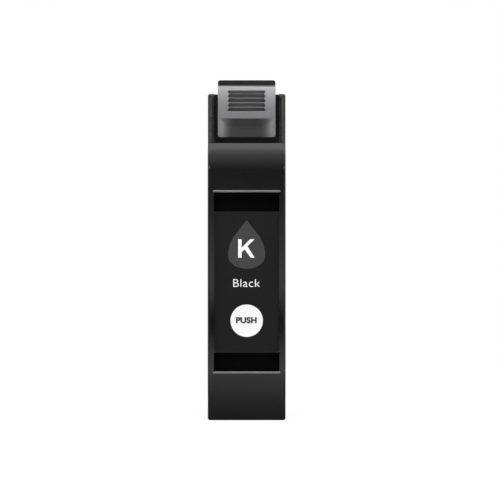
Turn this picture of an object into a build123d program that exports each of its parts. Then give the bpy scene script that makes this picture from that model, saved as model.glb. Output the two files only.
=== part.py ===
from build123d import *
import math
import os

# Inkjet ink cartridge, standing on its lower end with the label face to -Y.
# Millimetres, +Z up. The origin is under the middle of the whole cartridge,
# on the surface that it stands on.

# Body
width = 18.0
body_depth = 49.0
wall = 1.5
edge_round = 0.6
rear_corner_radius = 1.5
cheek_corner_radius = 1.0

# Front outline, stacked from the foot up to the top of the cheeks
chin_height = 10.4
chin_back = 2.0
recess_above_chin = 0.9
band_height = 4.35
pad_height = 32.55
shoulder_above_recess = 5.55
sill_above_shoulder = 5.9
cheek_height = 11.45
shoulder_radius = 6.9
shoulder_sweep = 42.0

# Front cover
cover_wall = 1.3
seam_set_back = 0.5
rail_width = 1.45
recess_depth = 0.6
band_depth = 1.3
bead_radius = 0.25
bead_rise = 0.2
pin_radius = 0.9
pin_reach = 1.0
pin_clearance = 0.05
pin_from_side = 3.5
pin_above_foot = 7.5
pin_below_shoulder = 1.6
cover_rib_pitch = 8.0
cover_rib_thickness = 0.8

# Label and its printed fields
label_thickness = 0.15
label_side_gap = 0.15
label_margin = 0.1
label_corner = 0.5
print_thickness = 0.05
drop_half_width = 4.28
drop_below_pad_top = 10.2
drop_rise = 8.2
drop_fall = 3.05
drop_tip_angle = 38.0
spot_radius = 3.73
spot_above_pad_foot = 7.35

# Latch pocket and channel
cheek_thickness = 1.45
cheek_nose_radius = 1.2
pocket_depth = 4.75
channel_depth = 3.85
channel_end = 21.9
guide_wall = 1.5
guide_gap = 0.4

# Latch lever
latch_side_gap = 0.885
latch_rise = 3.15
lip_height = 1.17
lip_reach = 0.6
lip_corner = 0.6
arm_inset = 1.1
arm_thickness = 1.8
arm_floor_gap = 1.4
carrier_thickness = 1.4
pad_sill_gap = 1.4
pad_set_back = 0.1
hinge_from_end = 2.8
hinge_barrel_radius = 1.5
hinge_floor_gap = 0.35
trunnion_radius = 1.1
trunnion_clearance = 0.05
trunnion_depth = 0.5
socket_depth = 0.7
gusset_thickness = 1.2
gusset_height = 3.0
gusset_length = 6.0

# Latch grip pad
grip_thickness = 2.0
grip_lean = 1.1
grip_corner = 0.55
grip_top_round = 0.5
groove_count = 5
groove_pitch = 1.065
groove_height = 0.55
groove_from_side = 2.295
groove_depth = 0.9
rib_set_back = 0.25
first_groove_drop = 1.51
scoop_height = 4.3
scoop_from_side = 0.4
scoop_floor_width = 5.1
scoop_depth = 1.1

# Latch spring in its cup
latch_spring_back = 9.0
latch_spring_radius = 1.8
latch_wire_radius = 0.2
latch_spring_turns = 5
cup_radius = 2.3
cup_wall = 1.0
cup_depth = 4.0
peg_radius = 1.2
peg_length = 0.8

# Tank
lid_thickness = 1.4
lid_lap = 0.75
lid_clearance = 0.05
divider_thickness = 1.2
divider_back = 21.0
passage_height = 4.0
chamber_rib_thickness = 0.8
chamber_rib_depth = 1.2
chamber_rib_count = 3

# Ink outlet, a valve housing that is pressed into the rear wall
outlet_height = 23.0
spout_reach = 3.0
housing_radius = 4.3
housing_wall = 1.0
housing_clearance = 0.05
flange_radius = 5.4
flange_thickness = 0.8
retainer_thickness = 0.8
retainer_bore = 2.2
seal_thickness = 2.0
seal_bore = 1.35
seal_lead_in = 0.5
seal_clearance = 0.05
valve_seat_gap = 0.05
poppet_radius = 2.7
poppet_thickness = 1.0
poppet_shoulder_radius = 1.6
poppet_shoulder_length = 0.6
poppet_dish = 0.25
stem_radius = 0.9
stem_clearance = 0.06
stem_past_guide = 0.3
valve_spring_length = 4.95
valve_spring_radius = 2.2
valve_wire_radius = 0.18
valve_spring_turns = 4
guide_thickness = 1.2
flow_hole_count = 6
flow_hole_radius = 0.4
gallery_length = 2.1
gallery_wall = 1.5
filter_thickness = 0.3
wick_length = 2.6
wick_proud = 0.6
wick_clearance = 0.08

# Foam
foam_clearance = 0.1
foam_headroom = 11.45
foam_corner = 1.0

# Memory chip on the rear wall
board_width = 11.0
board_height = 9.0
board_thickness = 0.8
board_below_top = 15.45
board_recess = 0.5
board_clearance = 0.1
stake_radius = 0.7
stake_clearance = 0.05
stake_rise = 0.3
stake_from_edge = 1.2
contact_columns = 4
contact_rows = 2
contact_width = 1.3
contact_height = 2.2
contact_gap_x = 0.45
contact_gap_z = 0.8
contact_thickness = 0.06
die_radius = 1.5
die_height = 0.35
die_clearance = 0.1

# Ink level prism in the floor of the free-ink chamber
prism_width = 6.0
prism_length = 8.0
prism_flange = 0.8
prism_flange_thickness = 0.8
prism_recess = 0.15
prism_clearance = 0.05
prism_from_front = 12.0

# Air vent and fill port in the side lid
vent_hole_radius = 0.6
vent_groove_width = 0.6
vent_groove_depth = 0.35
vent_run = 8.0
vent_row_pitch = 1.6
vent_rows = 5
vent_below_top = 5.95
vent_from_rear = 4.6
film_margin = 1.2
film_thickness = 0.1
film_clearance = 0.05
membrane_radius = 2.0
membrane_thickness = 0.2
plug_radius = 1.6
plug_head_radius = 2.5
plug_head_thickness = 0.7
plug_clearance = 0.03
plug_past_lid = 0.6
plug_from_front = 10.0
plug_below_sill = 14.0

# Heights that follow, from the foot up
recess_low = chin_height + recess_above_chin
pad_low = recess_low + band_height
pad_high = pad_low + pad_height
recess_high = pad_high + band_height
shoulder_start = recess_high + shoulder_above_recess
sill_height = shoulder_start + sill_above_shoulder
body_height = sill_height + cheek_height
latch_top = body_height + latch_rise
channel_floor = body_height - channel_depth
board_centre = body_height - board_below_top
plug_height = sill_height - plug_below_sill

# Places that follow along Y
front_y = -(bead_rise + body_depth + spout_reach) / 2 + bead_rise
rear_y = front_y + body_depth
mouth_y = rear_y + spout_reach
shoulder_angle = math.radians(shoulder_sweep)
bevel_y = front_y + shoulder_radius * (1 - math.cos(shoulder_angle))
bevel_z = shoulder_start + shoulder_radius * math.sin(shoulder_angle)
sill_y = bevel_y + (sill_height - bevel_z) * math.tan(shoulder_angle)
seam_y = sill_y + seam_set_back
pocket_back = sill_y + pocket_depth
channel_back = sill_y + channel_end
divider_front = front_y + divider_back

# Widths that follow
half_width = width / 2
half_recess = half_width - rail_width
half_pocket = half_width - cheek_thickness
half_latch = half_pocket - latch_side_gap
half_arm = half_latch - arm_inset
half_guide = half_arm + guide_gap
half_groove = half_latch - groove_from_side
inner_left = -half_width + wall
lid_inner = half_width - lid_thickness
far = 200.0


def slab(face, x_low, x_high):
    """Extrude a side outline, drawn as (y, z), from x_low to x_high."""
    return Pos(x_low, 0, 0) * extrude(Plane.YZ * face, x_high - x_low)


def block(x_low, x_high, y_low, y_high, z_low, z_high):
    """A plain box between six planes."""
    size = (x_high - x_low, y_high - y_low, z_high - z_low)
    middle = ((x_low + x_high) / 2, (y_low + y_high) / 2, (z_low + z_high) / 2)
    return Pos(*middle) * Box(*size)


def turned(points, x=0.0, z=0.0):
    """Revolve a (radius, y) outline about an axis along Y."""
    return Pos(x, 0, z) * revolve(make_face(Polyline(*points, close=True)), Axis.Y)


def disc_along_x(radius, x_low, x_high, y, z):
    """A round disc or rod whose axis runs along X."""
    return slab(Pos(y, z) * Circle(radius), x_low, x_high)


def disc_along_y(radius, y_low, y_high, x, z):
    """A round disc or rod whose axis runs along Y."""
    return Pos(x, (y_low + y_high) / 2, z) * Rot(90, 0, 0) * Cylinder(radius, y_high - y_low)


def side_outline():
    """The cartridge seen from its side: chin, flat face, shoulder, bevel, cheek and back."""
    chin = TangentArc((front_y, chin_height), (front_y + chin_back, 0), tangent=(0, -1))
    face = Line((front_y, chin_height), (front_y, shoulder_start))
    shoulder = CenterArc(
        (front_y + shoulder_radius, shoulder_start), shoulder_radius, 180 - shoulder_sweep, shoulder_sweep
    )
    cheek_top = body_height - cheek_corner_radius
    front_lines = Polyline((bevel_y, bevel_z), (sill_y, sill_height), (sill_y, cheek_top))
    cheek_corner = CenterArc(
        (sill_y + cheek_corner_radius, cheek_top), cheek_corner_radius, 90, 90
    )
    rear = rear_y - rear_corner_radius
    top = Line((sill_y + cheek_corner_radius, body_height), (rear, body_height))
    upper_corner = CenterArc((rear, body_height - rear_corner_radius), rear_corner_radius, 0, 90)
    back = Line((rear_y, body_height - rear_corner_radius), (rear_y, rear_corner_radius))
    lower_corner = CenterArc((rear, rear_corner_radius), rear_corner_radius, 270, 90)
    base = Line((rear, 0), (front_y + chin_back, 0))
    edges = [chin, face, shoulder, front_lines, cheek_corner, top, upper_corner, back, lower_corner, base]
    return make_face(Wire(sum((edge.edges() for edge in edges), [])))


def outer_form():
    """The full outside of the body with its long edges rounded."""
    form = slab(side_outline(), -half_width, half_width)
    by_x = form.faces().sort_by(Axis.X)
    return fillet(by_x[0].edges() + by_x[-1].edges(), edge_round)


def cover_region(top):
    """The space in front of the seam and below the given height."""
    return block(-far, far, -far, seam_y, -far, top)


def front_cover(form):
    """The shallow front moulding: chin, label recess with two deep bands, beads, ribs and pins."""
    cover = form & cover_region(sill_height)
    hollow = slab(offset(side_outline(), -cover_wall), cover_wall - half_width, half_width - cover_wall)
    hollow &= cover_region(sill_height - cover_wall)
    backing = half_width - cover_wall
    band_back = front_y + band_depth + cover_wall
    for low, high in ((recess_low, pad_low), (pad_high, recess_high)):
        hollow -= block(-backing, backing, -far, band_back, low - cover_wall, high + cover_wall)
    recess_back = front_y + recess_depth + cover_wall
    hollow -= block(-backing, backing, -far, recess_back, recess_low, recess_high)
    rib_z = pad_low + cover_rib_pitch / 2
    while rib_z < pad_high:
        half_rib = cover_rib_thickness / 2
        hollow -= block(-backing, backing, -far, seam_y, rib_z - half_rib, rib_z + half_rib)
        rib_z += cover_rib_pitch
    cover -= hollow
    cover -= block(-half_recess, half_recess, -far, front_y + recess_depth, recess_low, recess_high)
    for low, high in ((recess_low, pad_low), (pad_high, recess_high)):
        cover -= block(-half_recess, half_recess, -far, front_y + band_depth, low, high)
    bead_y = front_y - bead_rise + bead_radius
    for z in (recess_low - bead_radius, recess_high + bead_radius):
        cover += disc_along_x(bead_radius, -half_recess, half_recess, bead_y, z)
        for x in (-half_recess, half_recess):
            cover += Pos(x, bead_y, z) * Sphere(bead_radius)
    for x, z in pin_places():
        cover += disc_along_y(pin_radius, front_y + cover_wall / 2, seam_y + pin_reach, x, z)
    return cover


def pin_places():
    """Where the cover's four pins enter the tank."""
    pin_x = half_width - pin_from_side
    heights = (pin_above_foot, shoulder_start - pin_below_shoulder)
    return [(x, z) for x in (-pin_x, pin_x) for z in heights]


def cheek_noses():
    """The cutter that rounds the two cheeks' front outer edges above the sill."""
    corner_x, corner_y = half_width - cheek_nose_radius, sill_y + cheek_nose_radius
    nose = block(corner_x, far, -far, corner_y, sill_height, far)
    nose -= Pos(corner_x, corner_y, 0) * Cylinder(cheek_nose_radius, 2 * far)
    return nose + mirror(nose, about=Plane.YZ)


def cavity_outline(grow=0.0):
    """The tank's inside, stepped under the latch pocket and channel, grown by a margin."""
    points = (
        (seam_y + wall, wall),
        (seam_y + wall, sill_height - wall),
        (pocket_back + wall, sill_height - wall),
        (pocket_back + wall, channel_floor - wall),
        (channel_back + wall, channel_floor - wall),
        (channel_back + wall, body_height - wall),
        (rear_y - wall, body_height - wall),
        (rear_y - wall, wall),
    )
    outline = make_face(Polyline(*points, close=True))
    return offset(outline, grow, kind=Kind.INTERSECTION) if grow else outline


def spring_cup():
    """Where the latch spring stands: its middle along Y and the cup's floor."""
    return channel_back - latch_spring_back, channel_floor - cup_depth


def vent_path():
    """The air labyrinth's corners as (y, z), back and forth down the lid."""
    rear = rear_y - wall - vent_from_rear
    corners = []
    for row in range(vent_rows):
        z = body_height - vent_below_top - row * vent_row_pitch
        run = [(rear, z), (rear - vent_run, z)]
        corners += run if row % 2 == 0 else run[::-1]
    return corners


def tank(form):
    """The main moulding, open on its +X side, with a divider, latch pocket and chip seat."""
    body = form - cover_region(sill_height)
    body -= slab(cavity_outline(), inner_left, half_width)
    body -= slab(cavity_outline(lid_lap), lid_inner, far)
    body -= block(-half_pocket, half_pocket, -far, pocket_back, sill_height, far)
    body -= block(-half_guide, half_guide, -far, channel_back, channel_floor, far)
    guide_back = pocket_back + guide_wall
    body -= block(-half_pocket, half_pocket, guide_back, channel_back, channel_floor, far)
    body -= cheek_noses()
    divider_rear = divider_front + divider_thickness
    body += block(
        inner_left, lid_inner, divider_front, divider_rear, wall + passage_height, channel_floor - wall
    )
    for i in range(chamber_rib_count):
        z = wall + (i + 1) * (sill_height - 2 * wall) / (chamber_rib_count + 1)
        half_rib = chamber_rib_thickness / 2
        rib_x = inner_left + chamber_rib_depth
        body += block(inner_left, rib_x, seam_y + wall, divider_front, z - half_rib, z + half_rib)
    cup_y, cup_z = spring_cup()
    cup = Pos(0, cup_y, (cup_z - cup_wall + channel_floor) / 2)
    body += cup * Cylinder(cup_radius + cup_wall, channel_floor - cup_z + cup_wall)
    body -= Pos(0, cup_y, (cup_z + far) / 2) * Cylinder(cup_radius, far - cup_z)
    hinge_y, hinge_z = hinge_place()
    socket = half_pocket + socket_depth
    body -= disc_along_x(trunnion_radius + trunnion_clearance, -socket, socket, hinge_y, hinge_z)
    for x, z in pin_places():
        reach = seam_y + pin_reach + pin_clearance
        body -= disc_along_y(pin_radius + pin_clearance, seam_y, reach, x, z)
    port = housing_radius + housing_clearance
    body -= disc_along_y(port, rear_y - 2 * wall, far, 0, outlet_height)
    body -= prism_window()
    return chip_seat(body)


def chip_seat(body):
    """The shallow recess for the chip board, its two stakes and the hollow behind the die."""
    half_seat = board_width / 2 + board_clearance
    half_tall = board_height / 2 + board_clearance
    seat_y = rear_y - board_recess
    body -= block(-half_seat, half_seat, seat_y, far, board_centre - half_tall, board_centre + half_tall)
    die_floor = seat_y - die_height - die_clearance
    body -= disc_along_y(die_radius + die_clearance, die_floor, far, 0, board_centre)
    for x in stake_columns():
        top = seat_y + board_thickness + stake_rise
        body += disc_along_y(stake_radius, seat_y - wall / 2, top, x, board_centre)
    return body


def stake_columns():
    """The two stakes' places along X."""
    stake_x = board_width / 2 - stake_from_edge
    return (-stake_x, stake_x)


def side_lid():
    """The welded side plate with its air labyrinth, film seat, vent hole and fill port."""
    lid = slab(cavity_outline(lid_lap - lid_clearance), lid_inner, half_width)
    lid -= slab(film_outline(0), half_width - film_thickness, far)
    groove = trace(Polyline(*vent_path()), line_width=vent_groove_width)
    lid -= slab(groove, half_width - film_thickness - vent_groove_depth, far)
    y, z = vent_path()[0]
    lid -= disc_along_x(vent_hole_radius, 0, far, y, z)
    lid -= disc_along_x(
        membrane_radius + film_clearance, lid_inner - wall, lid_inner + membrane_thickness, y, z
    )
    plug_y = seam_y + plug_from_front
    lid -= disc_along_x(plug_radius, 0, far, plug_y, plug_height)
    head_x = half_width - plug_head_thickness
    return lid - disc_along_x(plug_head_radius, head_x, far, plug_y, plug_height)


def film_outline(inset):
    """The film's rectangle round the air labyrinth, smaller by an inset."""
    corners = vent_path()
    low_y = min(y for y, z in corners) - film_margin + inset
    high_y = max(y for y, z in corners) + film_margin - inset
    low_z = min(z for y, z in corners) - film_margin + inset
    high_z = max(z for y, z in corners) + film_margin - inset
    middle = Pos((low_y + high_y) / 2, (low_z + high_z) / 2)
    return middle * Rectangle(high_y - low_y, high_z - low_z)


def vent_film():
    """The thin film that closes the air labyrinth."""
    return slab(film_outline(film_clearance), half_width - film_thickness, half_width)


def vent_membrane():
    """The porous disc that keeps ink out of the air vent."""
    y, z = vent_path()[0]
    return disc_along_x(membrane_radius, lid_inner, lid_inner + membrane_thickness, y, z)


def fill_plug():
    """The rubber plug in the fill port: a flat head and a stem."""
    y = seam_y + plug_from_front
    under_head = half_width - plug_head_thickness
    end = lid_inner - plug_past_lid
    head = disc_along_x(plug_head_radius - plug_clearance, under_head, half_width, y, plug_height)
    return head + disc_along_x(plug_radius - plug_clearance, end, under_head, y, plug_height)


def foam_block():
    """The ink sponge, notched round the valve housing."""
    y_low = divider_front + divider_thickness + foam_clearance
    y_high = rear_y - wall - foam_clearance
    x_low, x_high = inner_left + foam_clearance, lid_inner - foam_clearance
    foam = block(x_low, x_high, y_low, y_high, wall, body_height - foam_headroom)
    notch = housing_radius + foam_clearance
    foam -= disc_along_y(notch, wick_front(), far, 0, outlet_height)
    return fillet(foam.edges().filter_by(Axis.X), foam_corner)


def valve_stations():
    """The valve's planes along Y, from the mouth inwards."""
    seal_rear = mouth_y - retainer_thickness
    seal_front = seal_rear - seal_thickness
    poppet_rear = seal_front - valve_seat_gap
    poppet_front = poppet_rear - poppet_thickness
    guide_rear = poppet_front - valve_spring_length
    guide_front = guide_rear - guide_thickness
    filter_rear = guide_front - gallery_length
    filter_front = filter_rear - filter_thickness
    return {
        "seal_rear": seal_rear,
        "seal_front": seal_front,
        "poppet_rear": poppet_rear,
        "poppet_front": poppet_front,
        "guide_rear": guide_rear,
        "guide_front": guide_front,
        "filter_rear": filter_rear,
        "filter_front": filter_front,
    }


def wick_front():
    """The wick's inner face, pressed against the foam."""
    return valve_stations()["filter_front"] - wick_length


def valve_housing():
    """The turned outlet tube: seal socket, stem guide with flow holes, gallery and wick socket."""
    at = valve_stations()
    bore = housing_radius - housing_wall
    guide = stem_radius + stem_clearance
    gallery = housing_radius - gallery_wall
    inner_end = wick_front() + wick_proud
    mouth_bevel = housing_wall / 2
    housing = turned(
        (
            (housing_radius, inner_end),
            (housing_radius, rear_y),
            (flange_radius, rear_y),
            (flange_radius, rear_y + flange_thickness),
            (housing_radius, rear_y + flange_thickness),
            (housing_radius, mouth_y - mouth_bevel),
            (housing_radius - mouth_bevel, mouth_y),
            (bore, mouth_y),
            (bore, at["guide_rear"]),
            (guide, at["guide_rear"]),
            (guide, at["guide_front"]),
            (gallery, at["guide_front"]),
            (gallery, at["filter_rear"]),
            (bore, at["filter_rear"]),
            (bore, inner_end),
        ),
        z=outlet_height,
    )
    ring = (guide + gallery) / 2
    for i in range(flow_hole_count):
        turn = 2 * math.pi * i / flow_hole_count
        x, z = ring * math.cos(turn), outlet_height + ring * math.sin(turn)
        housing -= disc_along_y(flow_hole_radius, at["guide_front"], at["guide_rear"], x, z)
    return housing


def outlet_seal():
    """The rubber ring that grips the ink needle, with a conical lead-in at its outer face."""
    at = valve_stations()
    outside = housing_radius - housing_wall - seal_clearance
    return turned(
        (
            (outside, at["seal_front"]),
            (outside, at["seal_rear"]),
            (seal_bore + seal_lead_in, at["seal_rear"]),
            (seal_bore, at["seal_rear"] - seal_lead_in),
            (seal_bore, at["seal_front"]),
        ),
        z=outlet_height,
    )


def seal_retainer():
    """The ring that holds the seal in its socket."""
    at = valve_stations()
    outside = housing_radius - housing_wall - seal_clearance
    return turned(
        (
            (outside, at["seal_rear"]),
            (outside, mouth_y),
            (retainer_bore, mouth_y),
            (retainer_bore, at["seal_rear"]),
        ),
        z=outlet_height,
    )


def outlet_poppet():
    """The valve disc that closes the seal, with a spring shoulder and a guided stem."""
    at = valve_stations()
    shoulder_y = at["poppet_front"] - poppet_shoulder_length
    stem_end = at["guide_rear"] - guide_thickness + stem_past_guide
    return turned(
        (
            (0, stem_end),
            (stem_radius - poppet_dish, stem_end),
            (stem_radius, stem_end + poppet_dish),
            (stem_radius, shoulder_y),
            (poppet_shoulder_radius, shoulder_y),
            (poppet_shoulder_radius, at["poppet_front"]),
            (poppet_radius, at["poppet_front"]),
            (poppet_radius, at["poppet_rear"]),
            (seal_bore, at["poppet_rear"]),
            (seal_bore - poppet_dish, at["poppet_rear"] - poppet_dish),
            (0, at["poppet_rear"] - poppet_dish),
        ),
        z=outlet_height,
    )


def coil_spring(radius, wire, turns, length):
    """A coil spring that stands on the origin along +Z."""
    rise = length - 2 * wire
    path = Helix(pitch=rise / turns, height=rise, radius=radius)
    section = Plane(origin=path @ 0, z_dir=path % 0) * Circle(wire)
    return Pos(0, 0, wire) * sweep(section, path=path)


def outlet_spring():
    """The spring that keeps the valve disc against the seal."""
    at = valve_stations()
    coil = coil_spring(valve_spring_radius, valve_wire_radius, valve_spring_turns, valve_spring_length)
    return Pos(0, at["poppet_front"], outlet_height) * Rot(90, 0, 0) * coil


def outlet_filter():
    """The fine mesh disc between the wick and the gallery."""
    at = valve_stations()
    radius = housing_radius - housing_wall - wick_clearance
    return disc_along_y(radius, at["filter_front"], at["filter_rear"], 0, outlet_height)


def outlet_wick():
    """The felt plug that draws ink from the foam."""
    at = valve_stations()
    radius = housing_radius - housing_wall - wick_clearance
    return disc_along_y(radius, wick_front(), at["filter_front"], 0, outlet_height)


def chip_board():
    """The small circuit board with two stake holes."""
    y_low = rear_y - board_recess
    y_high = y_low + board_thickness
    half_x, half_z = board_width / 2, board_height / 2
    board = block(-half_x, half_x, y_low, y_high, board_centre - half_z, board_centre + half_z)
    for x in stake_columns():
        board -= disc_along_y(stake_radius + stake_clearance, y_low, y_high, x, board_centre)
    return board


def chip_contacts():
    """The gold contact pads in rows on the board's outer face."""
    y_low = rear_y - board_recess + board_thickness
    pads = []
    for row in range(contact_rows):
        for column in range(contact_columns):
            x = (column - (contact_columns - 1) / 2) * (contact_width + contact_gap_x)
            z = board_centre + (row - (contact_rows - 1) / 2) * (contact_height + contact_gap_z)
            half_x, half_z = contact_width / 2, contact_height / 2
            pads.append(
                block(x - half_x, x + half_x, y_low, y_low + contact_thickness, z - half_z, z + half_z)
            )
    return Compound(children=pads)


def chip_die():
    """The coated memory chip on the board's inner face."""
    y = rear_y - board_recess
    return disc_along_y(die_radius, y - die_height, y, 0, board_centre)


def prism_middle():
    """The prism's middle along Y."""
    return seam_y + prism_from_front


def prism_window():
    """The opening in the tank's floor for the prism."""
    half_x, half_y = prism_width / 2, prism_length / 2
    y = prism_middle()
    return block(-half_x, half_x, y - half_y, y + half_y, -wall, 2 * wall)


def level_prism():
    """The clear roof-shaped prism that the printer reads the ink level through."""
    half_x = prism_width / 2 - prism_clearance
    half_y = prism_length / 2 - prism_clearance
    y = prism_middle()
    flange_top = wall + prism_flange_thickness
    window = block(-half_x, half_x, y - half_y, y + half_y, prism_recess, wall)
    flange_x, flange_y = half_x + prism_flange, half_y + prism_flange
    flange = block(-flange_x, flange_x, y - flange_y, y + flange_y, wall, flange_top)
    roof = make_face(
        Polyline((-half_x, flange_top), (half_x, flange_top), (0, flange_top + half_x), close=True)
    )
    ridge = Pos(0, y + half_y, 0) * extrude(Plane.XZ * roof, 2 * half_y)
    return window + flange + ridge


def label():
    """The thin film label on the raised pad of the recess."""
    low, high = pad_low + label_margin, pad_high - label_margin
    sheet = RectangleRounded(2 * (half_recess - label_side_gap), high - low, label_corner)
    return on_face(Pos(0, (low + high) / 2) * sheet, front_y + recess_depth, label_thickness)


def on_face(sketch, y, thickness):
    """Raise an (x, z) outline towards -Y from the plane at y."""
    return Pos(0, y, 0) * extrude(Plane.XZ * sketch, thickness)


def label_drop():
    """The printed ink drop: a half ellipse, two round flanks and straight sides up to a tip."""
    angle = math.radians(drop_tip_angle)
    radius = drop_rise * math.sin(angle) - drop_half_width * math.cos(angle)
    radius /= 1 - math.cos(angle)
    drop_centre = pad_high - drop_below_pad_top
    centre_x = drop_half_width - radius
    joint_x = centre_x + radius * math.cos(angle)
    joint_z = drop_centre + radius * math.sin(angle)
    lower = EllipticalCenterArc(
        (0, drop_centre), drop_half_width, drop_fall, start_angle=180, arc_size=180
    )
    right = CenterArc((centre_x, drop_centre), radius, 0, drop_tip_angle)
    left = CenterArc((-centre_x, drop_centre), radius, 180 - drop_tip_angle, drop_tip_angle)
    tip = Polyline((joint_x, joint_z), (0, drop_centre + drop_rise), (-joint_x, joint_z))
    outline = make_face(Wire(lower.edges() + right.edges() + tip.edges() + left.edges()))
    return on_face(outline, front_y + recess_depth - label_thickness, print_thickness)


def push_spot():
    """The printed white spot that shows where to push."""
    spot = Pos(0, pad_low + spot_above_pad_foot) * Circle(spot_radius)
    return on_face(spot, front_y + recess_depth - label_thickness, print_thickness)


def hinge_place():
    """The latch hinge's axis as (y, z)."""
    return channel_back - hinge_from_end, channel_floor + hinge_floor_gap + hinge_barrel_radius


def carrier_front():
    """The plane where the grip pad meets the lever."""
    return sill_y + pad_set_back + grip_thickness


def rounded_plate(low, high, corner_low, corner_high):
    """The latch's front outline as (x, z) with round lower and upper corners."""
    plate = Pos(0, (low + high) / 2) * Rectangle(2 * half_latch, high - low)
    if corner_low:
        plate = fillet(plate.vertices().group_by(Axis.Y)[0], corner_low)
    if corner_high:
        plate = fillet(plate.vertices().group_by(Axis.Y)[-1], corner_high)
    return plate


def latch_arm():
    """The black lever: hinge barrel with trunnions, arm, upright carrier and catch lip."""
    hinge_y, hinge_z = hinge_place()
    rear = carrier_front() + carrier_thickness
    arm_low = channel_floor + arm_floor_gap
    arm_high = arm_low + arm_thickness
    arm_front = rear - carrier_thickness / 2
    lever = block(-half_arm, half_arm, arm_front, hinge_y, arm_low, arm_high)
    lever += disc_along_x(hinge_barrel_radius, -half_latch, half_latch, hinge_y, hinge_z)
    trunnion = half_pocket + trunnion_depth
    lever += disc_along_x(trunnion_radius, -trunnion, trunnion, hinge_y, hinge_z)
    carrier = rounded_plate(grip_low(), latch_top, grip_corner, lip_corner)
    lever += on_face(carrier, rear, carrier_thickness)
    lip = rounded_plate(grip_high(), latch_top, 0, lip_corner)
    lever += on_face(lip, rear, carrier_thickness + lip_reach)
    gusset = make_face(
        Polyline(
            (rear, arm_high),
            (rear + gusset_length, arm_high),
            (rear, arm_high + gusset_height),
            close=True,
        )
    )
    inset = half_arm - gusset_thickness
    lever += slab(gusset, -half_arm, -inset) + slab(gusset, inset, half_arm)
    peg_y = spring_cup()[0]
    lever += Pos(0, peg_y, arm_low - peg_length / 2) * Cylinder(peg_radius, peg_length)
    return lever


def grip_low():
    """The pad's lower end, above the sill."""
    return sill_height + pad_sill_gap


def grip_high():
    """The pad's upper end, under the lip."""
    return latch_top - lip_height


def grip_front():
    """The pad's front plane at its lower end."""
    return carrier_front() - grip_thickness


def grip_face(z):
    """How far forward the leaning face is at a height."""
    tall = grip_high() - grip_low()
    radius = (tall**2 + grip_lean**2) / (2 * grip_lean)
    return grip_front() + radius - math.sqrt(radius**2 - (z - grip_low()) ** 2)


def grip_outline(depth=0.0):
    """The pad's side outline: flat back, and a front that leans back towards its top."""
    back, front = carrier_front() + depth, grip_front() + depth
    low, high = grip_low(), grip_high()
    face = TangentArc((front, low), (front + grip_lean, high), tangent=(0, 1))
    rest = Polyline(face @ 1, (back, high), (back, low), (front, low))
    return make_face(Wire(face.edges() + rest.edges()))


def groove_heights():
    """The middles of the grooves, from the top one down."""
    return [grip_high() - first_groove_drop - i * groove_pitch for i in range(groove_count)]


def groove_panel():
    """The cutter for the whole grooved panel, as deep as the grooves, which have round ends."""
    heights = groove_heights()
    end_radius = groove_height / 2
    low, high = heights[-1] - end_radius, heights[0] + end_radius
    beyond = Pos(carrier_front(), (low + high) / 2) * Rectangle(4 * grip_thickness, high - low)
    end = half_groove - end_radius
    panel = slab(beyond - grip_outline(groove_depth), -end, end)
    for z in heights:
        for x in (-end, end):
            panel += disc_along_y(end_radius, grip_front() - wall, grip_face(z) + groove_depth, x, z)
    return panel


def grip_rib(z):
    """One round-topped rib between two grooves, rooted in the panel's floor."""
    radius = (groove_pitch - groove_height) / 2
    tip = grip_face(z) + rib_set_back + radius
    root = grip_face(z) + groove_depth + radius
    bar = Pos(tip, z) * Circle(radius) + Pos((tip + root) / 2, z) * Rectangle(root - tip, 2 * radius)
    end = half_groove - groove_height / 2
    return slab(bar, -end, end)


def scoop_cutter():
    """The finger scoop below the grooves: a flat floor between two round flanks."""
    half, half_floor = half_latch - scoop_from_side, scoop_floor_width / 2
    front, floor = grip_front(), grip_front() + scoop_depth
    right = TangentArc((half_floor, floor), (half, front), tangent=(1, 0))
    left = TangentArc((-half_floor, floor), (-half, front), tangent=(-1, 0))
    ahead = front - grip_thickness
    rim = Polyline(right @ 1, (half, ahead), (-half, ahead), left @ 1)
    middle = Line((-half_floor, floor), (half_floor, floor))
    outline = make_face(Wire(middle.edges() + right.edges() + rim.edges() + left.edges()))
    low = grip_low() - grip_thickness
    return Pos(0, 0, low) * extrude(outline, grip_low() + scoop_height - low)


def latch_grip():
    """The grey finger pad: rounded top edge, grooved panel with round ribs, and the scoop."""
    pad = slab(grip_outline(), -half_latch, half_latch)
    top_front = pad.edges().filter_by(Axis.X).group_by(Axis.Z)[-1].sort_by(Axis.Y)[0]
    pad = fillet(top_front, grip_top_round)
    plate = rounded_plate(grip_low(), grip_high(), grip_corner, 0)
    pad &= on_face(plate, carrier_front(), 2 * grip_thickness)
    pad -= groove_panel()
    heights = groove_heights()
    for upper, lower in zip(heights, heights[1:]):
        pad += grip_rib((upper + lower) / 2)
    return pad - scoop_cutter()


def latch_spring():
    """The spring under the lever that lifts the catch."""
    y, z = spring_cup()
    length = channel_floor + arm_floor_gap - z
    coil = coil_spring(latch_spring_radius, latch_wire_radius, latch_spring_turns, length)
    return Pos(0, y, z) * coil


def build():
    """Every piece of the cartridge by its node name."""
    form = outer_form()
    return {
        "tank": tank(form),
        "front_cover": front_cover(form),
        "side_lid": side_lid(),
        "vent_film": vent_film(),
        "vent_membrane": vent_membrane(),
        "fill_plug": fill_plug(),
        "foam_block": foam_block(),
        "valve_housing": valve_housing(),
        "outlet_seal": outlet_seal(),
        "seal_retainer": seal_retainer(),
        "outlet_poppet": outlet_poppet(),
        "outlet_spring": outlet_spring(),
        "outlet_filter": outlet_filter(),
        "outlet_wick": outlet_wick(),
        "chip_board": chip_board(),
        "chip_contacts": chip_contacts(),
        "chip_die": chip_die(),
        "level_prism": level_prism(),
        "label": label(),
        "label_drop": label_drop(),
        "push_spot": push_spot(),
        "latch_arm": latch_arm(),
        "latch_grip": latch_grip(),
        "latch_spring": latch_spring(),
    }


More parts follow.
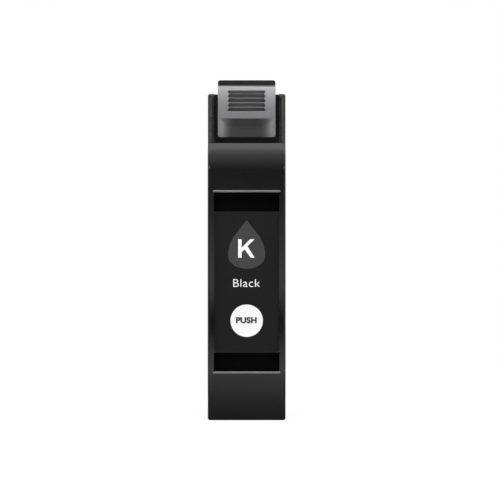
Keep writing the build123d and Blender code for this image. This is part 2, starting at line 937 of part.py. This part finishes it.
os.makedirs("parts", exist_ok=True)
for name, solid in build().items():
    export_step(solid, f"parts/{name}.step")
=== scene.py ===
"""The looks of the inkjet ink cartridge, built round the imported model."""

import math

import bpy
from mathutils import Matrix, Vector


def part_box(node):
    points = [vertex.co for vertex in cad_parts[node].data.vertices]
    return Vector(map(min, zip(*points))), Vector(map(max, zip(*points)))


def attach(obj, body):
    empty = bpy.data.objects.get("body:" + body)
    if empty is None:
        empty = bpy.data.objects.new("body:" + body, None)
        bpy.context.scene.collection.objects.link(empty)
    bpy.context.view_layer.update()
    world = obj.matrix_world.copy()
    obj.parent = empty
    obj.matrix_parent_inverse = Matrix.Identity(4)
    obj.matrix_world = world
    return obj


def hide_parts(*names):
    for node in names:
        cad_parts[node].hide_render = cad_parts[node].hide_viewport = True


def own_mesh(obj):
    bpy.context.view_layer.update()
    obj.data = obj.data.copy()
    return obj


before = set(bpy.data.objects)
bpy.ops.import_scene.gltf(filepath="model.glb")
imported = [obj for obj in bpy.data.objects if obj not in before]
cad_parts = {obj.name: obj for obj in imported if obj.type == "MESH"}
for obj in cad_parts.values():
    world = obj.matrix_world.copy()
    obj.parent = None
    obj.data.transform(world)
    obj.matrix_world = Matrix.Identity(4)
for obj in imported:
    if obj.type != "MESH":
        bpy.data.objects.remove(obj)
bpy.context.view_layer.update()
MM = 0.001
WHITE = (1, 1, 1, 1)

# The photograph's framing: the width of the picture, the point in its middle and a long lens
PHOTO_WIDTH = 115.2 * MM
MIDDLE_X = 0.77 * MM
MIDDLE_Z = 39.29 * MM
LENS = 250.0
SENSOR = 36.0
CLIP_END = 20.0

BODY = "cartridge"
COVER_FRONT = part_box("front_cover")[0].y
LABEL_LOW, LABEL_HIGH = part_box("label")
GRIP_LOW, GRIP_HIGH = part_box("latch_grip")

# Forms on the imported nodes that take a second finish, and how far off them a face may be
BEAD_RISE = 0.2 * MM
BAND_DEPTH = 1.3 * MM
BAND_HEIGHT = 4.45 * MM
RECESS_HALF = 7.55 * MM
GRIP_LEAN_RADIUS = 66.3 * MM
GRIP_RIM = 0.3 * MM
SCOOP_HEIGHT = 4.5 * MM
SLACK = 0.02 * MM
HAIR = 0.001 * MM

# Painted light from above: the grip's face lightens from the first height over its foot upwards,
# with the square of the height: the second height further up it has gained the share of its colour
PAINTED_LIGHT_LOW = 4.8 * MM
PAINTED_LIGHT_HEIGHT = 6.6 * MM
PAINTED_LIGHT_GAIN = 1.1

# Painted light lifts the painted recess shade with height; its foot is darker by this share of the
# lift
PAINTED_LIFT_BELOW = 0.125

# The thickness of the printed ink
PRINT_RISE = 0.02 * MM

# The air labyrinth under the vent film: its rows' pitch and length, its turns, the film's margin
# round it, the channel's edge in millimetres from its middle line, how far the film sinks there,
# and its greys on the lid and over the channel, where the darker grey is painted shade
VENT_PITCH = 1.6 * MM
VENT_RUN = 8.0 * MM
VENT_TURNS = 4
VENT_MARGIN = 1.15 * MM
VENT_EDGE = (0.24, 0.36)
VENT_SINK = 0.03 * MM
VENT_MILKY = (162, 174)
VENT_PAINTED_SHADE = 100

# Scales of the noises, in turns to the metre, and how far they spread the roughness
CLOUD_SCALE = 90.0
PATCH_SCALE = 260.0
GRAIN_SCALE = 4500.0
STREAK_SCALE = 1800.0
PATCH_LOW, PATCH_HIGH = 0.88, 1.12
STREAK_LOW, STREAK_HIGH = 0.8, 1.3
STREAK_DEPTH = 0.002 * MM
EDGE_SAMPLES = 8

MASK_GREEN = (0.012, 0.11, 0.045, 1)
COPPER_GREEN = (0.03, 0.19, 0.07, 1)
GOLD_DARK = (0.7, 0.45, 0.14, 1)
GOLD_LIGHT = (0.85, 0.6, 0.25, 1)

# The Mix node's sockets for colours, by their place among its inputs and outputs
MIX_INPUTS = (0, 6, 7)
MIX_RESULT = 2


def linear(value):
    """A grey written as 0 to 255 in a picture, as linear light by the sRGB curve."""
    c = value / 255
    return c / 12.92 if c <= 0.04045 else ((c + 0.055) / 1.055) ** 2.4


def grey(value, blue=1.0):
    """A linear colour near grey, from its picture value and a small tint."""
    light = linear(value)
    return (light, light, light * blue, 1.0)


def placed(name, data):
    """A new object in the scene."""
    made = bpy.data.objects.new(name, data)
    bpy.context.scene.collection.objects.link(made)
    return made


class Shader:
    """One node material and the helpers that build it."""

    def __init__(self, name):
        self.material = bpy.data.materials.new(name)
        self.material.use_nodes = True
        self.tree = self.material.node_tree
        self.surface = self.tree.nodes["Principled BSDF"]
        self.place = self.node("ShaderNodeTexCoord").outputs["Object"]

    def node(self, kind, **settings):
        """A new node with its settings."""
        made = self.tree.nodes.new(kind)
        for key, value in settings.items():
            setattr(made, key, value)
        return made

    def feed(self, made, values):
        """Fill a node's inputs from numbers, vectors or other nodes' outputs."""
        for key, value in values.items():
            if isinstance(value, bpy.types.NodeSocket):
                self.tree.links.new(value, made.inputs[key])
            else:
                made.inputs[key].default_value = value
        return made

    def set(self, **values):
        """Fill the main shader's inputs; an underscore stands for a space."""
        self.feed(self.surface, {key.replace("_", " "): value for key, value in values.items()})

    def mapped(self, **values):
        """The place on the object, stretched or turned."""
        mapping = self.node("ShaderNodeMapping")
        return self.feed(mapping, {"Vector": self.place, **values}).outputs[0]

    def noise(self, scale, detail=2.0, roughness=0.5, stretch=(1, 1, 1)):
        """Noise in object space, stretched along the axes."""
        values = {"Scale": scale, "Detail": detail, "Roughness": roughness}
        values["Vector"] = self.mapped(Scale=stretch)
        return self.feed(self.node("ShaderNodeTexNoise"), values).outputs["Fac"]

    def ramp(self, fac, low, high, start=0.3, end=0.7):
        """A blend between two colours or two numbers, by a factor."""
        made = self.feed(self.node("ShaderNodeValToRGB"), {"Fac": fac})
        for element, place, value in zip(made.color_ramp.elements, (start, end), (low, high)):
            element.position = place
            element.color = value if hasattr(value, "__len__") else (value, value, value, 1.0)
        return made.outputs["Color"]

    def mix(self, fac, low, high, blend="MIX"):
        """Mix two colours."""
        made = self.node("ShaderNodeMix", data_type="RGBA", blend_type=blend)
        return self.feed(made, dict(zip(MIX_INPUTS, (fac, low, high)))).outputs[MIX_RESULT]

    def math(self, operation, *values):
        """A sum of numbers or other nodes' outputs."""
        made = self.node("ShaderNodeMath", operation=operation)
        return self.feed(made, dict(enumerate(values))).outputs[0]

    def axis(self, name):
        """One coordinate of the place on the object."""
        return self.feed(self.node("ShaderNodeSeparateXYZ"), {"Vector": self.place}).outputs[name]

    def shade(self, factor):
        """Multiply the surface's colour by a factor."""
        body = self.surface.inputs["Base Color"].links[0].from_socket
        self.set(Base_Color=self.mix(1.0, body, factor, "MULTIPLY"))

    def bump(self, height, distance, radius=0.0):
        """Bump from a height, over rounded edges where a radius is given."""
        values = {"Strength": 1.0, "Distance": distance, "Height": height}
        if radius:
            edge = self.feed(self.node("ShaderNodeBevel", samples=EDGE_SAMPLES), {"Radius": radius})
            values["Normal"] = edge.outputs["Normal"]
        self.set(Normal=self.feed(self.node("ShaderNodeBump"), values).outputs["Normal"])


def moulded(name, low, high, rough, grain, edge=0.0, ior=1.45, grain_scale=GRAIN_SCALE, blue=1.0):
    """Moulded plastic: cloudy colour between two greys, patchy gloss, fine grain and soft edges.

    The grain's depth and the edges' radius are in millimetres, and blue tints the lighter grey.
    """
    made = Shader(name)
    cloud = made.noise(CLOUD_SCALE, detail=3.0)
    patch = made.noise(PATCH_SCALE, detail=4.0, roughness=0.6)
    made.set(
        Base_Color=made.ramp(cloud, grey(low), grey(high, blue)),
        Roughness=made.ramp(patch, rough * PATCH_LOW, rough * PATCH_HIGH),
        IOR=ior,
    )
    made.bump(made.noise(grain_scale), grain * MM, radius=edge * MM)
    return made


def metal(name, low, high, rough, stretch=(1, 1, 1)):
    """Bare metal between two colours, with fine drawn streaks."""
    made = Shader(name)
    streaks = made.noise(STREAK_SCALE, detail=4.0, roughness=0.6, stretch=stretch)
    made.set(
        Base_Color=made.ramp(streaks, low, high),
        Roughness=made.ramp(streaks, rough * STREAK_LOW, rough * STREAK_HIGH),
        Metallic=1.0,
    )
    made.bump(streaks, STREAK_DEPTH)
    return made


def clear_plastic():
    """Clear plastic with faint haze and ripple."""
    made = Shader("clear_plastic")
    haze = made.ramp(made.noise(scale=700.0, detail=3.0), low=0.05, high=0.12)
    made.set(Base_Color=grey(235), Roughness=haze, Transmission_Weight=0.9, IOR=1.49)
    made.bump(made.noise(scale=300.0), distance=0.01 * MM)
    return made


def vent_foil():
    """Milky film that sinks a little over the air labyrinth's rows and turns, with painted shade
    over them.
    """
    made = Shader("vent_foil")
    low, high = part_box("vent_film")
    below = made.math("SUBTRACT", high.z - VENT_MARGIN, made.axis("Z"))
    down = made.math("DIVIDE", below, VENT_PITCH)
    along = made.math("SUBTRACT", made.axis("Y"), low.y + VENT_MARGIN)

    def apart(value, middle, reach=0.0):
        """How far a value is from a middle, beyond a reach on either side of it."""
        gap = made.math("ABSOLUTE", made.math("SUBTRACT", value, middle))
        return made.math("MAXIMUM", made.math("SUBTRACT", gap, reach), 0.0)

    off_row = made.math("MULTIPLY", apart(down, made.math("ROUND", down)), VENT_PITCH)
    row = made.math("ADD", off_row, apart(along, VENT_RUN / 2, VENT_RUN / 2))
    turn_side = made.math("MODULO", made.math("FLOOR", down), 2.0)
    off_turn = apart(along, made.math("MULTIPLY", turn_side, VENT_RUN))
    beyond = made.math("MULTIPLY", apart(down, VENT_TURNS / 2, VENT_TURNS / 2), VENT_PITCH)
    nearest = made.math("MINIMUM", row, made.math("ADD", off_turn, beyond))
    sink_and_shade = made.ramp(made.math("DIVIDE", nearest, MM), 1.0, 0.0, *VENT_EDGE)
    cloud = made.noise(scale=300.0, detail=3.0)
    milky = made.ramp(cloud, *map(grey, VENT_MILKY))
    gloss = made.ramp(cloud, low=0.2, high=0.32)
    # Painted shade: the film turns to the darker grey over the channel below it
    made.set(Base_Color=made.mix(sink_and_shade, milky, grey(VENT_PAINTED_SHADE)), Roughness=gloss)
    made.bump(made.math("MULTIPLY", sink_and_shade, -1.0), VENT_SINK)
    return made


def circuit_board():
    """Green solder mask over copper tracks that show faintly through it."""
    made = Shader("board_green")
    upright = made.mapped(Rotation=(math.pi / 2, 0, 0))
    tracks = made.node("ShaderNodeTexBrick")
    made.feed(tracks, {"Vector": upright, "Scale": 620.0, "Mortar Size": 0.03})
    track = tracks.outputs["Fac"]
    made.set(Base_Color=made.ramp(track, MASK_GREEN, COPPER_GREEN), Roughness=0.25)
    made.bump(track, distance=0.01 * MM, radius=0.08 * MM)
    return made


def grey_with_painted_top_light():
    """The grip's matt grey, with painted light that makes it a little lighter towards its top."""
    made = moulded("latch_grey", 112, 118, rough=0.4, grain=0.006, edge=0.1, blue=1.05)
    above = made.math("SUBTRACT", made.axis("Z"), GRIP_LOW.z + PAINTED_LIGHT_LOW)
    painted_light_rise = made.math("MAXIMUM", made.math("DIVIDE", above, PAINTED_LIGHT_HEIGHT), 0.0)
    # Painted light: the colour is raised with the square of the height, as if lit from above
    made.shade(made.math("MULTIPLY_ADD", made.math("MULTIPLY", painted_light_rise, painted_light_rise), PAINTED_LIGHT_GAIN, 1.0))
    return made


def grey_with_painted_recess_shade(name, near, far, start, end, lift=0.0):
    """The grip's recessed grey: painted shade by depth, and painted light that lifts it with
    height.

    The painted shade goes from the near grey to the far one between two depths in millimetres.
    """
    made = moulded(name, 250, 255, rough=0.6, grain=0.015, ior=1.35)
    up = made.math("SUBTRACT", made.axis("Z"), GRIP_LOW.z)
    lean = made.math("DIVIDE", made.math("MULTIPLY", up, up), 2 * GRIP_LEAN_RADIUS)
    back = made.math("SUBTRACT", made.axis("Y"), GRIP_LOW.y)
    depth = made.math("DIVIDE", made.math("SUBTRACT", back, lean), MM)
    # Painted shade: the grey goes from near to far with the depth behind the leaning face
    deep = made.ramp(depth, grey(near), grey(far), start, end)
    # Painted light: lighter towards the top where a lift is given
    painted_height_light = made.math("MULTIPLY_ADD", up, lift / SCOOP_HEIGHT, 1 - lift * PAINTED_LIFT_BELOW)
    made.shade(made.mix(1.0, deep, painted_height_light, "MULTIPLY"))
    return made


def finish_nodes():
    """Every carried-over CAD node gets its finish. The white print's finish is handed back."""
    black = moulded("black_gloss", 14, 19, rough=0.09, grain=0.0008, edge=0.05, ior=1.42)
    satin = moulded("black_satin", 15, 21, rough=0.26, grain=0.004, edge=0.12, ior=1.42)
    steel = metal("spring_steel", grey(150), grey(190), rough=0.25, stretch=(1, 1, 6))
    natural = moulded("natural_plastic", 205, 218, rough=0.4, grain=0.005, edge=0.08, blue=0.97)
    rubber = moulded("seal_rubber", 28, 38, rough=0.65, grain=0.01, edge=0.1)
    print_white = moulded("print_white", 250, 254, rough=0.5, grain=0.002, ior=1.2)
    soft = moulded("black_satin_soft", 15, 21, rough=0.26, grain=0.004, edge=0.38, ior=1.42)
    finishes = {
        "tank": soft,
        "front_cover": black,
        "side_lid": satin,
        "vent_film": vent_foil(),
        "vent_membrane": moulded("membrane", 225, 238, rough=0.8, grain=0.02),
        "fill_plug": rubber,
        "foam_block": moulded("foam", 40, 70, rough=0.9, grain=0.15, grain_scale=1500.0),
        "valve_housing": satin,
        "outlet_seal": rubber,
        "seal_retainer": natural,
        "outlet_poppet": natural,
        "outlet_spring": steel,
        "outlet_filter": metal("mesh_steel", grey(120), grey(175), rough=0.4),
        "outlet_wick": moulded("felt", 170, 200, rough=0.95, grain=0.08, grain_scale=2500.0),
        "chip_board": circuit_board(),
        "chip_contacts": metal("gold", GOLD_DARK, GOLD_LIGHT, rough=0.2, stretch=(1, 1, 5)),
        "chip_die": moulded("die_coat", 22, 28, rough=0.35, grain=0.01),
        "level_prism": clear_plastic(),
        "label": moulded("label_film", 31, 34, rough=0.55, grain=0.002, ior=1.12),
        "label_drop": moulded("print_grey", 69, 73, rough=0.5, grain=0.002, ior=1.12),
        "push_spot": print_white,
        "latch_arm": moulded("latch_black", 30, 35, rough=0.5, grain=0.006, edge=0.15, ior=1.3),
        "latch_grip": grey_with_painted_top_light(),
        "latch_spring": steel,
    }
    for node, finish in finishes.items():
        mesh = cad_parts[node].data
        mesh.materials.clear()
        mesh.materials.append(finish.material)
    return print_white


def second_finish(node, shader, chosen):
    """Faces of a node whose middle is chosen get another finish."""
    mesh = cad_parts[node].data
    mesh.materials.append(shader.material)
    index = len(mesh.materials) - 1
    for face in mesh.polygons:
        if chosen(face.center):
            face.material_index = index


def in_band(place):
    """Inside one of the cover's two deep bands, above and below the label."""
    depth = place.y - COVER_FRONT - BEAD_RISE
    above = 0 < place.z - LABEL_HIGH.z < BAND_HEIGHT
    below = 0 < LABEL_LOW.z - place.z < BAND_HEIGHT
    inside = abs(place.x) < RECESS_HALF + HAIR
    return BAND_DEPTH / 2 < depth < BAND_DEPTH + SLACK and (above or below) and inside


def on_bead(place):
    """On one of the two raised beads that close the recess."""
    return place.y < COVER_FRONT + BEAD_RISE - HAIR


def in_grip_recess(place):
    """Below the grip's face, in its grooves or in the scoop."""
    lean = (place.z - GRIP_LOW.z) ** 2 / (2 * GRIP_LEAN_RADIUS)
    recessed = GRIP_LOW.y + lean + SLACK < place.y < GRIP_HIGH.y - GRIP_RIM
    return recessed and abs(place.x) < GRIP_HIGH.x - GRIP_RIM


def in_grooves(place):
    """In the grip's grooves or on the ribs between them."""
    return in_grip_recess(place) and place.z > GRIP_LOW.z + SCOOP_HEIGHT


def in_scoop(place):
    """In the scoop below the grooves."""
    return in_grip_recess(place) and place.z <= GRIP_LOW.z + SCOOP_HEIGHT


def second_finishes():
    """Second finishes: painted shade in the cover's bands and the grip's grooves and scoop, and a
    painted highlight on the cover's beads.
    """
    # Painted shade: the cover's deep bands get a darker black with little reflection
    band_shade = moulded("band_painted_shade", 7, 11, rough=0.6, grain=0.01, ior=1.08)
    # Painted highlight: a light grey on the raised beads stands for their lit edges
    bead_highlight = moulded("bead_painted_highlight", 106, 114, rough=0.35, grain=0.002)
    second_finish("front_cover", band_shade, in_band)
    second_finish("front_cover", bead_highlight, on_bead)
    # Painted shade in the grooves: darker on the set-back ribs, lighter towards the groove floors
    grooves = grey_with_painted_recess_shade("latch_grooves_painted_shade", near=78, far=116, start=0.25, end=0.75)
    second_finish("latch_grip", grooves, in_grooves)
    # Painted shade in the scoop, darker with depth, with painted light lifting it towards its top
    scoop = grey_with_painted_recess_shade("latch_scoop_painted_shade", near=120, far=60, start=0.35, end=1.1, lift=0.4)
    second_finish("latch_grip", scoop, in_scoop)


# The letter K in a unit square: a stem, an arm that meets it and a leg that leaves the arm
LETTER_K = (
    (0.0, 0.0),
    (0.0, 1.0),
    (0.215, 1.0),
    (0.215, 0.545),
    (0.73, 1.0),
    (1.0, 1.0),
    (0.565, 0.625),
    (1.0, 0.0),
    (0.755, 0.0),
    (0.405, 0.445),
    (0.215, 0.3),
    (0.215, 0.0),
)


def outlined(name, outline):
    """A flat plate of unit thickness from its outline."""
    count = len(outline)
    points = [(x, y, z) for z in (-0.5, 0.5) for x, y in outline]
    ends = [tuple(range(count)), tuple(range(2 * count - 1, count - 1, -1))]
    sides = [(i, (i + 1) % count, (i + 1) % count + count, i + count) for i in range(count)]
    mesh = bpy.data.meshes.new(name)
    mesh.from_pydata(points, [], ends + sides)
    return mesh


def lettered(name, text, bolder, spacing=1.06):
    """Words in plain letters as a mesh of unit thickness."""
    curve = bpy.data.curves.new(name, "FONT")
    curve.body = text
    curve.offset = bolder
    curve.space_character = spacing
    curve.extrude = 0.5
    shape = placed(name, curve)
    bpy.context.view_layer.update()
    made = shape.evaluated_get(bpy.context.evaluated_depsgraph_get())
    mesh = bpy.data.meshes.new_from_object(made)
    bpy.data.objects.remove(shape)
    return mesh


def printed(name, mesh, centre, size, y, shader):
    """Plain print: a mesh fitted to a width and height in millimetres, and as thin as ink."""
    spans = []
    for k in range(2):
        along = [v.co[k] for v in mesh.vertices]
        spans.append((min(along), max(along)))
    for v in mesh.vertices:
        x, z = (
            (centre[k] + ((v.co[k] - low) / (high - low) - 0.5) * size[k]) * MM
            for k, (low, high) in enumerate(spans)
        )
        v.co = (x, y - PRINT_RISE * (0.5 + v.co.z), z)
    mesh.materials.clear()
    mesh.materials.append(shader.material)
    made = placed(name, mesh)
    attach(made, BODY)
    return made


def print_label(white):
    """The generic marks: a letter in the drop, the colour's name and a word on the white spot."""
    dark = moulded("print_dark", 62, 68, rough=0.5, grain=0.002, ior=1.12)
    drop_y, spot_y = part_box("label_drop")[0].y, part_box("push_spot")[0].y
    letter = outlined("letter_k", LETTER_K)
    colour = lettered("word_black", "Black", bolder=-0.006)
    push = lettered("word_push", "PUSH", bolder=0.05)
    # Each mark's centre and size in millimetres, across and up, the place of the face under it,
    # its finish and its slot
    rows = (
        ("letter_k", letter, (-0.07, 39.65), (3.8, 4.26), drop_y, white, "print_white"),
        ("word_black", colour, (0.0, 31.68), (6.2, 1.82), LABEL_LOW.y, white, "print_white"),
        ("word_push", push, (-0.08, 23.12), (4.8, 1.44), spot_y, dark, "label_film"),
    )
    for name, mesh, centre, size, y, shader, slot in rows:
        printed(name, mesh, centre, size, y, shader)


def working_spring(node):
    """The spring's form again, as a copy on the body in place of the hidden imported piece.

    The fixed end is the one with the lower coordinate on the axis.
    """
    made = placed(node + "_working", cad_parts[node].data.copy())
    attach(made, BODY)
    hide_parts(node)
    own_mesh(made)


def working_springs():
    """The latch spring under the lever's front half and the spring behind the valve disc."""
    working_spring("latch_spring")
    working_spring("outlet_spring")


# A softbox above and behind, a key above the front and a fill from each side: the place, the point
# that it looks at, its width and height in metres, its power in watts, and whether gloss sees it
AIM = (0, 0, 0.04)
LAMPS = (
    ("top_softbox", (0, 0.15, 0.43), (0, 0.15, 0), (0.5, 0.4), 0.8, True),
    ("front_key", (0, -0.15, 0.5), AIM, (0.4, 0.2), 3.6, False),
    ("side_fill_0", (-0.5, -0.1, 0.2), AIM, (0.2, 0.3), 0.4, False),
    ("side_fill_2", (0.5, -0.1, 0.2), AIM, (0.2, 0.3), 0.4, False),
)
WORLD_FILL = 0.34


def area_light(name, place, target, size, power, glossy):
    """A soft rectangular lamp that looks at a point."""
    lamp = bpy.data.lights.new(name, "AREA")
    lamp.shape = "RECTANGLE"
    lamp.size, lamp.size_y = size
    lamp.energy = power
    made = placed(name, lamp)
    made.location = place
    made.rotation_euler = (Vector(target) - Vector(place)).to_track_quat("-Z", "Y").to_euler()
    made.visible_camera = False
    made.visible_glossy = glossy


def background_factor(tree):
    """1 for the rays that see the background: camera, glossy and transmission rays."""
    path = tree.nodes.new("ShaderNodeLightPath")
    total = path.outputs["Is Camera Ray"]
    for kind in ("Is Glossy Ray", "Is Transmission Ray"):
        either = tree.nodes.new("ShaderNodeMath")
        either.operation = "MAXIMUM"
        tree.links.new(total, either.inputs[0])
        tree.links.new(path.outputs[kind], either.inputs[1])
        total = either.outputs[0]
    return total


def white_world():
    """A white background at strength 1 that lights the object at a lower strength."""
    world = bpy.data.worlds.new("studio")
    bpy.context.scene.world = world
    world.use_nodes = True
    tree = world.node_tree
    background = tree.nodes["Background"]
    background.inputs["Color"].default_value = WHITE
    strength = tree.nodes.new("ShaderNodeMapRange")
    strength.inputs["To Min"].default_value = WORLD_FILL
    strength.inputs["To Max"].default_value = 1.0
    tree.links.new(background_factor(tree), strength.inputs["Value"])
    tree.links.new(strength.outputs["Result"], background.inputs["Strength"])


# The reflector's outline from under the chin, over the floor, up and back overhead:
# distance ahead of the cover and height in millimetres, and how bright it is there
REFLECTOR = (
    (-2.6, 0.05, 0.26),
    (3, 0.05, 0.42),
    (25, 0.05, 0.78),
    (50, 0.05, 0.86),
    (140, 0.05, 0.98),
    (140, 6, 1.25),
    (140, 9.5, 1.3),
    (140, 18, 0.0),
    (140, 21, 0.0),
    (140, 29, 1.28),
    (140, 34, 1.12),
    (140, 45, 0.6),
    (140, 53, 0.3),
    (140, 61, 0.22),
    (140, 75, 0.34),
    (140, 180, 0.95),
    (140, 280, 1.3),
    (60, 280, 1.75),
    (25, 280, 2.75),
    (-60, 280, 2.75),
)
REFLECTOR_HALF = 260 * MM

# Two bright strips in front of its outer parts, one on each side, in the same numbers
STRIP = ((135, 72, 8.0), (135, 89, 8.0))
STRIP_INNER = 105 * MM


def reflector():
    """A soft card round the front that only gloss sees, with bright and dark bands."""
    points, faces, glow = [], [], []
    sheets = (
        (REFLECTOR, (-REFLECTOR_HALF, REFLECTOR_HALF)),
        (STRIP, (-REFLECTOR_HALF, -STRIP_INNER)),
        (STRIP, (STRIP_INNER, REFLECTOR_HALF)),
    )
    for outline, sides in sheets:
        for row, (ahead, height, light) in enumerate(outline):
            if row:
                i = len(points)
                faces.append((i - 2, i - 1, i + 1, i))
            points += [(x, COVER_FRONT - ahead * MM, height * MM) for x in sides]
            glow += [light] * len(sides)
    mesh = bpy.data.meshes.new("reflector")
    mesh.from_pydata(points, [], faces)
    glows = mesh.attributes.new("glow", "FLOAT", "POINT").data
    for spot, light in zip(glows, glow):
        spot.value = light
    card = Shader("reflector_card")
    light = card.node("ShaderNodeAttribute", attribute_name="glow").outputs["Fac"]
    card.set(Base_Color=grey(0), Specular_IOR_Level=0.0)
    card.set(Emission_Color=WHITE, Emission_Strength=light)
    mesh.materials.append(card.material)
    made = placed("reflector", mesh)
    for kind in ("camera", "diffuse", "transmission", "volume_scatter", "shadow"):
        setattr(made, "visible_" + kind, False)


# The floor's width, its middle, the greys that are seen, the grey that diffuse light meets, and
# the share of white glow that is mixed in where it is seen
FLOOR_SIZE = 0.9
FLOOR_MIDDLE = (0, -0.1, -0.03 * MM)
FLOOR_SEEN = (246, 252)
FLOOR_BOUNCE = 185
FLOOR_GLOW = 0.72


def floor():
    """A plain pale floor that fades into the white background and keeps the shadow."""
    bpy.ops.mesh.primitive_plane_add(size=FLOOR_SIZE, location=FLOOR_MIDDLE)
    made = bpy.context.object
    made.name = "floor"
    pale = Shader("pale_floor")
    seen = background_factor(pale.tree)
    cloud = pale.ramp(pale.noise(scale=40.0), *map(grey, FLOOR_SEEN))
    pale.set(Base_Color=pale.mix(seen, grey(FLOOR_BOUNCE), cloud), Roughness=0.9)
    glow = pale.feed(pale.node("ShaderNodeEmission"), {"Color": WHITE, "Strength": 1.0})
    share = pale.math("MULTIPLY", seen, FLOOR_GLOW)
    layers = {0: share, 1: pale.surface.outputs[0], 2: glow.outputs[0]}
    blend = pale.feed(pale.node("ShaderNodeMixShader"), layers)
    pale.feed(pale.tree.nodes["Material Output"], {"Surface": blend.outputs[0]})
    made.data.materials.append(pale.material)


def studio():
    """The lamps, the white world, the card for the gloss and the floor."""
    for lamp in LAMPS:
        area_light(*lamp)
    white_world()
    reflector()
    floor()


def camera():
    """A long lens straight in front of the label, framed as the photograph."""
    data = bpy.data.cameras.new("camera")
    data.lens = LENS
    data.sensor_width = SENSOR
    data.clip_end = CLIP_END
    made = placed("camera", data)
    made.location = (MIDDLE_X, LABEL_LOW.y - PHOTO_WIDTH * LENS / SENSOR, MIDDLE_Z)
    made.rotation_euler = (math.pi / 2, 0, 0)
    bpy.context.scene.camera = made


print_label(finish_nodes())
second_finishes()
working_springs()
studio()
camera()
bpy.context.scene.view_settings.view_transform = "Standard"
